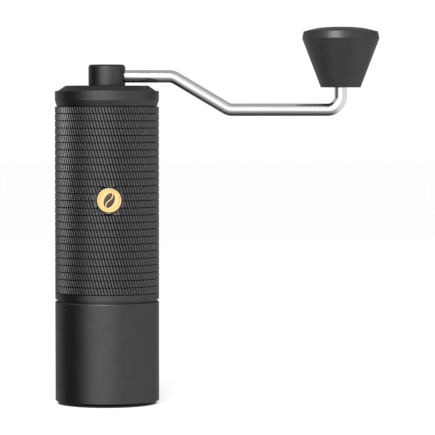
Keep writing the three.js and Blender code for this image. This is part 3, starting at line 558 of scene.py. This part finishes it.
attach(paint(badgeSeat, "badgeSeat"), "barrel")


# The bean is an ellipse of rings from its middle out. Its height is that of a flat dome, less a groove
# along a wave of sine shape that runs from end to end.
def badgeBean(rings=40, sides=96):
    share = np.linspace(0, 1, rings)[:, None]
    angle = (np.arange(sides) * turn / sides)[None, :]
    across = badge["beanWidth"] * share * np.cos(angle)
    along = badge["beanLength"] * share * np.sin(angle)
    middle = badge["creaseSwing"] * np.sin(math.pi * along / badge["beanLength"])
    groove = np.exp(-((across - middle) / (badge["crease"] * 0.6)) ** 2)
    rise = badge["beanRise"] * (1 - share ** 4) * (1 - groove)
    cos, sin = math.cos(badge["beanTilt"]), math.sin(badge["beanTilt"])
    points = np.stack([across * cos - along * sin, across * sin + along * cos,
                       fieldAt - badge["beanSink"] + rise + 0 * across], axis=-1)
    skirt = points[-1:].copy()
    skirt[..., 2] = backAt + 0.1
    floor = skirt * np.array([0, 0, 1])
    points = np.concatenate([points, skirt, floor])
    groove = np.concatenate([groove, groove[-1:], groove[-1:]])
    faces = gridFaces(rings + 2, sides, False)[:, ::-1]
    return meshObject("badgeBean", points * mm, faces, values={"crease": groove}, merge=True)


# The bean is brown enamel with a gold crease, and its gloss varies with a fine grain
bean = badgeBean()
faceFront(bean)
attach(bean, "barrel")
beanLook = bpy.data.materials.new("roastedEnamel")
beanLook.use_nodes = True
beanNodes, beanLink = beanLook.node_tree.nodes, beanLook.node_tree.links.new
beanMark = beanNodes.new("ShaderNodeAttribute")
beanMark.attribute_name = "crease"
beanRamp = beanNodes.new("ShaderNodeValToRGB")
beanRamp.color_ramp.elements[0].position = 0.35
beanRamp.color_ramp.elements[0].color = (*badge["enamel"], 1)
beanRamp.color_ramp.elements[1].position = 0.6
beanRamp.color_ramp.elements[1].color = (*badge["creaseGold"], 1)
beanLink(beanMark.outputs["Fac"], beanRamp.inputs["Fac"])
beanLink(beanRamp.outputs["Color"], beanNodes["Principled BSDF"].inputs["Base Color"])
beanGrain = beanNodes.new("ShaderNodeTexNoise")
beanGrain.inputs["Scale"].default_value = 1 / (badge["grain"] * mm)
beanLink(beanNodes.new("ShaderNodeTexCoord").outputs["Object"], beanGrain.inputs["Vector"])
beanGloss = beanNodes.new("ShaderNodeMapRange")
beanGloss.inputs["To Min"].default_value, beanGloss.inputs["To Max"].default_value = badge["gloss"]
beanLink(beanGrain.outputs["Fac"], beanGloss.inputs["Value"])
beanLink(beanGloss.outputs["Result"], beanNodes["Principled BSDF"].inputs["Roughness"])
bean.data.materials.append(beanLook)
print("badge made")

# Inner barrel

barrel = {"radius": 25.1, "throat": 21.6, "hopper": 20.8, "collar": 22.6, "burrShoulder": 91.3,
          "bridgeShoulder": 132.0, "snapFoot": 137.3, "snapTop": 139.1, "snapReach": 23.5,
          "spigotBevel": 0.6, "threadPitch": 1.5, "threadDepth": 0.16, "threadRows": 44}
spigot, neck = spigotEnd / mm, sleeveFoot / mm
collarTop = sleeveTop / mm
innerBarrel = turned("innerBarrel", [
    *roundedOutline([
        (barrel["radius"], neck - 0.3, 0),
        (barrel["radius"], collarTop, 0.1),
        (barrel["collar"], collarTop, 0.15),
        (barrel["collar"], barrel["snapTop"], 0.08),
        (barrel["snapReach"], barrel["snapTop"], 0.08),
        (barrel["snapReach"], barrel["snapFoot"], 0.08),
        (barrel["collar"], barrel["snapFoot"], 0.08),
        (barrel["collar"], barrel["bridgeShoulder"], 0.1),
        (barrel["hopper"], barrel["bridgeShoulder"], 0.2),
        (barrel["hopper"], barrel["burrShoulder"], 0.15),
        (barrel["throat"], barrel["burrShoulder"], 0.1),
        (barrel["throat"], spigot, 0.2),
        (barrel["radius"] - barrel["spigotBevel"], spigot, 0.1),
        (barrel["radius"], spigot + barrel["spigotBevel"], 0.1),
    ], closed=False),
    *np.stack([np.full(barrel["threadRows"], barrel["radius"]),
               np.linspace(spigot + 1.0, neck - 0.5, barrel["threadRows"])], axis=-1),
], sides=224, ripple=threadRipple(barrel["threadPitch"], -barrel["threadDepth"], spigot + 1, neck - 0.6,
                                  barrel["radius"]))
place(paint(innerBarrel, "barrelAluminium"), "inner_barrel")
print("inner barrel made")

# Lid

lid = {"taper": (0.95, 3.25), "ledge": 1.6, "bevel": (4.0, 2.7), "skirt": 22.0, "skirtBore": 19.6,
       "skirtBevel": 0.5, "roof": 3.0, "roofHaunch": 1.5, "sealGroove": 20.7, "sealHeight": 153.59,
       "sealHalf": 1.0, "bore": 9.2, "boss": 11.5, "bossFoot": 160.9}
top, skirt = lidTop / mm, skirtFoot / mm
foot = collarTop + sealRings["lidHeight"]
lidCap = turned("lidCap", roundedOutline([
    (lid["skirtBore"], skirt, 0.15),
    (lid["skirt"] - lid["skirtBevel"], skirt, 0.1),
    (lid["skirt"], skirt + lid["skirtBevel"], 0.1),
    (lid["skirt"], lid["sealHeight"] - lid["sealHalf"], 0.08),
    (lid["sealGroove"], lid["sealHeight"] - lid["sealHalf"], 0.08),
    (lid["sealGroove"], lid["sealHeight"] + lid["sealHalf"], 0.08),
    (lid["skirt"], lid["sealHeight"] + lid["sealHalf"], 0.08),
    (lid["skirt"], foot, 0.1),
    (radius - lid["taper"][0], foot, 0.12),
    (radius, foot + lid["taper"][1], 0.22),
    (radius, top - lid["bevel"][1] - 0.1, 0.14),
    (radius - lid["ledge"], top - lid["bevel"][1], 0.12),
    (radius - lid["ledge"] - lid["bevel"][0], top, 0.3),
    (lid["bore"], top, 0.12),
    (lid["bore"], lid["bossFoot"], 0.1),
    (lid["boss"], lid["bossFoot"], 0.15),
    (lid["boss"], top - lid["roof"], 0.3),
    (lid["skirtBore"], top - lid["roof"] - lid["roofHaunch"], 0.6),
]), sides=256)
place(paint(lidCap, "anodisedShell"), "lid_cap")
lidGasketRadius = radius - lid["taper"][0] - sealRings["inset"]
lidGasket = turned("lidGasket", roundedOutline([
    (lidGasketRadius - sealRings["lidWidth"], collarTop, 0),
    (lidGasketRadius, collarTop, 0.04),
    (lidGasketRadius, foot, 0.04),
    (lidGasketRadius - sealRings["lidWidth"], foot, 0),
]), sides=192)
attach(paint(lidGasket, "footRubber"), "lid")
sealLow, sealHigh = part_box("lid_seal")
sealRound = (sealHigh.z - sealLow.z) / mm / 2
sealAngle = np.arange(16) * turn / 16
lidSeal = turned("lidSeal", np.stack([
    sealHigh.x / mm - sealRound + sealRound * np.cos(sealAngle),
    (sealHigh.z + sealLow.z) / mm / 2 + sealRound * np.sin(sealAngle)], axis=-1), sides=128)
place(paint(lidSeal, "footRubber"), "lid_seal")
print("lid made")

# Crank hub, rod and knob

hub = {"bevel": 1.0, "proud": 0.15, "gap": 0.3, "stem": 7.2, "bore": 5.7, "boreTop": 168.2, "grub": 1.9,
       "grubFloor": 176.4, "grooveFoot": 158.1, "grooveTop": 159.2, "grooveRadius": 6.6,
       "washerInset": 0.25, "washerGap": 0.02}
hubHigh, stemLow = hubTop / mm, stemFoot / mm
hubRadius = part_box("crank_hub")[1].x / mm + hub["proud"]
crankHub = turned("crankHub", roundedOutline([
    (0, hub["boreTop"], 0),
    (hub["bore"], hub["boreTop"], 0.1),
    (hub["bore"], stemLow, 0.12),
    (hub["stem"], stemLow, 0.12),
    (hub["stem"], hub["grooveFoot"], 0.05),
    (hub["grooveRadius"], hub["grooveFoot"], 0.05),
    (hub["grooveRadius"], hub["grooveTop"], 0.05),
    (hub["stem"], hub["grooveTop"], 0.05),
    (hub["stem"], top + hub["gap"], 0.1),
    (hubRadius, top + hub["gap"], 0.14),
    (hubRadius, hubHigh - hub["bevel"], 0.16),
    (hubRadius - hub["bevel"], hubHigh, 0.16),
    (hub["grub"], hubHigh, 0.14),
    (hub["grub"], hub["grubFloor"], 0.05),
    (0, hub["grubFloor"], 0),
], closed=False), closed=False, sides=160)
place(paint(crankHub, "anodisedShell"), "crank_hub")
hubWasher = turned("hubWasher", roundedOutline([
    (hub["stem"] + hub["washerGap"], top, 0),
    (hubRadius - hub["washerInset"], top, 0.08),
    (hubRadius - hub["washerInset"], top + hub["gap"], 0.08),
    (hub["stem"] + hub["washerGap"], top + hub["gap"], 0),
]), sides=128)
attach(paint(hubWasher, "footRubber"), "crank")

rod = {"radius": 3.36, "sag": 0.14, "inset": -5.0, "shelf": 7.3, "slope": 29.8, "bend": 7.1, "roof": 2.7}
rodUpper = hubHigh - rod["roof"] - rod["radius"] - rod["sag"]
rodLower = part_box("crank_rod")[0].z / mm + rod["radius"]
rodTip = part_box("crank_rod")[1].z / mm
reach = crankReach / mm
crankRod = tube("crankRod", bentPath([
    (rod["inset"], 0, rodUpper),
    (radius + rod["shelf"], 0, rodUpper),
    (radius + rod["shelf"] + rod["slope"], 0, rodLower),
    (reach, 0, rodLower),
    (reach, 0, rodTip),
], rod["bend"], steps=22), rod["radius"], sides=64)
place(paint(crankRod, "polishedRod"), "crank_rod")

knob = {"footRadius": 10.6, "cone": 26.0, "shoulder": 0.8, "capRadius": 19.15, "capGap": 0.22,
        "capDepth": 2.2, "seatGap": 0.3, "bore": 5.2, "domeSteps": 24, "domePower": 2.8}
low, edgeAt, domeAt = knobFoot / mm, knobEdge / mm, domeTop / mm
wide = knobRadius / mm
knobBody = turned("knobBody", roundedOutline([
    (knob["bore"], low, 0.15),
    (knob["footRadius"], low, 0.3),
    (wide, low + knob["cone"], 0.2),
    (wide - knob["shoulder"], edgeAt, 0.2),
    (knob["capRadius"] + knob["capGap"], edgeAt, 0.1),
    (knob["capRadius"] + knob["capGap"], edgeAt - knob["capDepth"] - knob["seatGap"], 0),
    (knob["bore"], edgeAt - knob["capDepth"] - knob["seatGap"], 0),
]), sides=224, centre=(crankReach, 0))
place(paint(knobBody, "knobPlastic"), "knob_body")
rise = domeAt - edgeAt
# The dome's height falls with a power of the radius, so that it is flat in the middle and full at its edge
domeShare = np.linspace(0.995, 0, knob["domeSteps"])
domeLine = np.stack([knob["capRadius"] * domeShare, domeAt - rise * domeShare ** knob["domePower"]], axis=-1)
knobCap = turned("knobCap", [
    (0, edgeAt - knob["capDepth"]),
    (knob["capRadius"], edgeAt - knob["capDepth"]),
    (knob["capRadius"], edgeAt - 0.12),
    (knob["capRadius"] - 0.05, edgeAt - 0.03),
    *domeLine,
], closed=False, sides=192, centre=(crankReach, 0))
place(paint(knobCap, "knobPlastic"), "knob_cap")
print("crank and knob made")

# Inner pieces: copies of the CAD nodes with broken edges

softPieces = {
    "bearing_bridge": ("bearingBridge", "barrelAluminium", 0.25),
    "burr_carrier": ("burrCarrier", "barrelAluminium", 0.25),
    "bridge_snap_ring": ("bridgeSnapRing", "blackSteel", 0.12),
    "upper_shaft_clip": ("upperShaftClip", "blackSteel", 0.08),
    "lower_shaft_clip": ("lowerShaftClip", "blackSteel", 0.08),
    "hub_clip": ("hubClip", "blackSteel", 0.08),
    "drive_shaft": ("driveShaft", "groundSteel", 0.12),
    "drive_socket": ("driveSocket", "groundSteel", 0.1),
    "grub_screw": ("grubScrew", "blackSteel", 0.08),
    "click_plate": ("clickPlate", "groundSteel", 0.1),
    "adjusting_dial": ("adjustingDial", "brass", 0.12),
    "burr_retainer": ("burrRetainer", "groundSteel", 0.2),
    "inner_burr": ("innerBurr", "burrSteel", 0.06),
    "outer_burr": ("outerBurr", "burrSteel", 0.06),
    "lid_bush": ("lidBush", "nylon", 0.1),
    "knob_screw": ("knobScrew", "blackSteel", 0.1),
    "upper_outer_race": ("upperOuterRace", "groundSteel", 0.2),
    "upper_inner_race": ("upperInnerRace", "groundSteel", 0.15),
    "lower_outer_race": ("lowerOuterRace", "groundSteel", 0.2),
    "lower_inner_race": ("lowerInnerRace", "groundSteel", 0.15),
}
for node, (name, finish, width) in softPieces.items():
    paint(softened(node, name, width), finish)
plainNodes = {
    "upper_ball_cage": "brass", "lower_ball_cage": "brass", "spring_washer": "groundSteel",
    "burr_spring": "springSteel", "click_ball_1": "groundSteel", "click_ball_2": "groundSteel",
    "click_spring_1": "springSteel", "click_spring_2": "springSteel", "lower_knob_bush": "nylon",
    "upper_knob_bush": "nylon", "knob_washer": "groundSteel",
}
for node, finish in plainNodes.items():
    for slot in frame["nodes"][node].material_slots:
        slot.material = material[finish]
print("inner pieces finished:", len(softPieces) + len(plainNodes))

# Stage: floor, light and camera

stage = {"floor": 6.0, "floorTone": 0.82, "floorGlow": 0.42, "backdrop": 1.05,
         "cameraReach": 1.522, "cameraTurn": 2.32, "cameraHeight": 0.160,
         "aim": (0.0586, 0.0, 0.0982), "lens": 238.04, "keyPower": 5.0, "keySize": 0.42,
         "keyTurn": -15.0, "keyReach": 0.62, "keyHeight": 0.56, "keyAim": (0.03, 0, 0.12)}
floor = meshObject("floor", [(x * stage["floor"], y * stage["floor"], -0.0002)
                             for x, y in ((-1, -1), (1, -1), (1, 1), (-1, 1))], [(0, 1, 2, 3)])
floor.visible_glossy = False
floorLook = bpy.data.materials.new("paleFloor")
floorLook.use_nodes = True
floorShader = floorLook.node_tree.nodes["Principled BSDF"]
floorShader.inputs["Base Color"].default_value = (*[stage["floorTone"]] * 3, 1)
floorShader.inputs["Roughness"].default_value = 0.9
floorShader.inputs["Specular IOR Level"].default_value = 0.1
floorShader.inputs["Emission Color"].default_value = (1, 1, 1, 1)
floorShader.inputs["Emission Strength"].default_value = stage["floorGlow"]
floor.data.materials.append(floorLook)


# A direction given by its turn to the right of -Y and its rise above the level, in degrees.
def direction(turnedBy, raised):
    a, e = math.radians(turnedBy), math.radians(raised)
    return (math.sin(a) * math.cos(e), -math.cos(a) * math.cos(e), math.sin(e))


# Studio: an even pale room. Each patch makes it darker or brighter round one direction by a factor, with a
# smooth step of the angle's cosine to that direction. The camera sees a plain backdrop instead.
world = bpy.data.worlds.new("studio")
bpy.context.scene.world = world
world.use_nodes = True
roomNodes, roomLink = world.node_tree.nodes, world.node_tree.links.new
roomPatches = [  # turn, rise, angle where it is full, angle where it ends, factor at its middle
    (-88, -12, 14, 47, 0.08),
    (-6, -62, 10, 54, 0.42),
    (0, -90, 10, 46, 0.30),
    (180, -55, 16, 44, 0.12),
    (180, 60, 40, 86, 0.52),
    (-14, 8, 4, 44, 1.65),
    (-58, -40, 3, 18, 0.35),
]
roomView = roomNodes.new("ShaderNodeTexCoord").outputs["Generated"]
value = None
for around, rise, fullAt, endsAt, factor in roomPatches:
    dot = roomNodes.new("ShaderNodeVectorMath")
    dot.operation = "DOT_PRODUCT"
    roomLink(roomView, dot.inputs[0])
    dot.inputs[1].default_value = direction(around, rise)
    fade = roomNodes.new("ShaderNodeMapRange")
    fade.interpolation_type = "SMOOTHSTEP"
    fade.inputs["From Min"].default_value = math.cos(math.radians(endsAt))
    fade.inputs["From Max"].default_value = math.cos(math.radians(fullAt))
    fade.inputs["To Min"].default_value = 1.0
    fade.inputs["To Max"].default_value = factor
    roomLink(dot.outputs["Value"], fade.inputs["Value"])
    if value is None:
        value = fade.outputs["Result"]
    else:
        product = roomNodes.new("ShaderNodeMath")
        product.operation = "MULTIPLY"
        roomLink(value, product.inputs[0])
        roomLink(fade.outputs["Result"], product.inputs[1])
        value = product.outputs["Value"]
roomShade = roomNodes["Background"]
roomShade.inputs["Color"].default_value = (1, 1, 1, 1)
roomLink(value, roomShade.inputs["Strength"])
backdrop = roomNodes.new("ShaderNodeBackground")
backdrop.inputs["Color"].default_value = (1, 1, 1, 1)
backdrop.inputs["Strength"].default_value = stage["backdrop"]
seen = roomNodes.new("ShaderNodeLightPath")
choice = roomNodes.new("ShaderNodeMixShader")
roomLink(seen.outputs["Is Camera Ray"], choice.inputs["Fac"])
roomLink(roomShade.outputs["Background"], choice.inputs[1])
roomLink(backdrop.outputs["Background"], choice.inputs[2])
roomLink(choice.outputs["Shader"], roomNodes["World Output"].inputs["Surface"])


# The rotation that points a light or a camera from a spot to its target.
def aimedAt(spot, target):
    return (Vector(target) - Vector(spot)).to_track_quat("-Z", "Y").to_euler()


keyData = bpy.data.lights.new("keyLight", "AREA")
keyData.shape = "RECTANGLE"
keyData.size = stage["keySize"]
keyData.size_y = stage["keySize"] * 0.8
keyData.energy = stage["keyPower"]
keyLight = bpy.data.objects.new("keyLight", keyData)
bpy.context.scene.collection.objects.link(keyLight)
keyAngle = math.radians(stage["keyTurn"])
keyLight.location = (math.sin(keyAngle) * stage["keyReach"], -math.cos(keyAngle) * stage["keyReach"],
                     stage["keyHeight"])
keyLight.rotation_euler = aimedAt(keyLight.location, stage["keyAim"])
keyLight.visible_camera = False

cameraData = bpy.data.cameras.new("camera")
cameraData.lens = stage["lens"]
cameraData.sensor_width = 36
cameraData.clip_end = 30
camera = bpy.data.objects.new("camera", cameraData)
bpy.context.scene.collection.objects.link(camera)
around = math.radians(stage["cameraTurn"])
camera.location = (-stage["cameraReach"] * math.sin(around), -stage["cameraReach"] * math.cos(around),
                   stage["cameraHeight"])
camera.rotation_euler = aimedAt(camera.location, stage["aim"])
bpy.context.scene.camera = camera
bpy.context.scene.view_settings.view_transform = "Standard"
print("stage made")
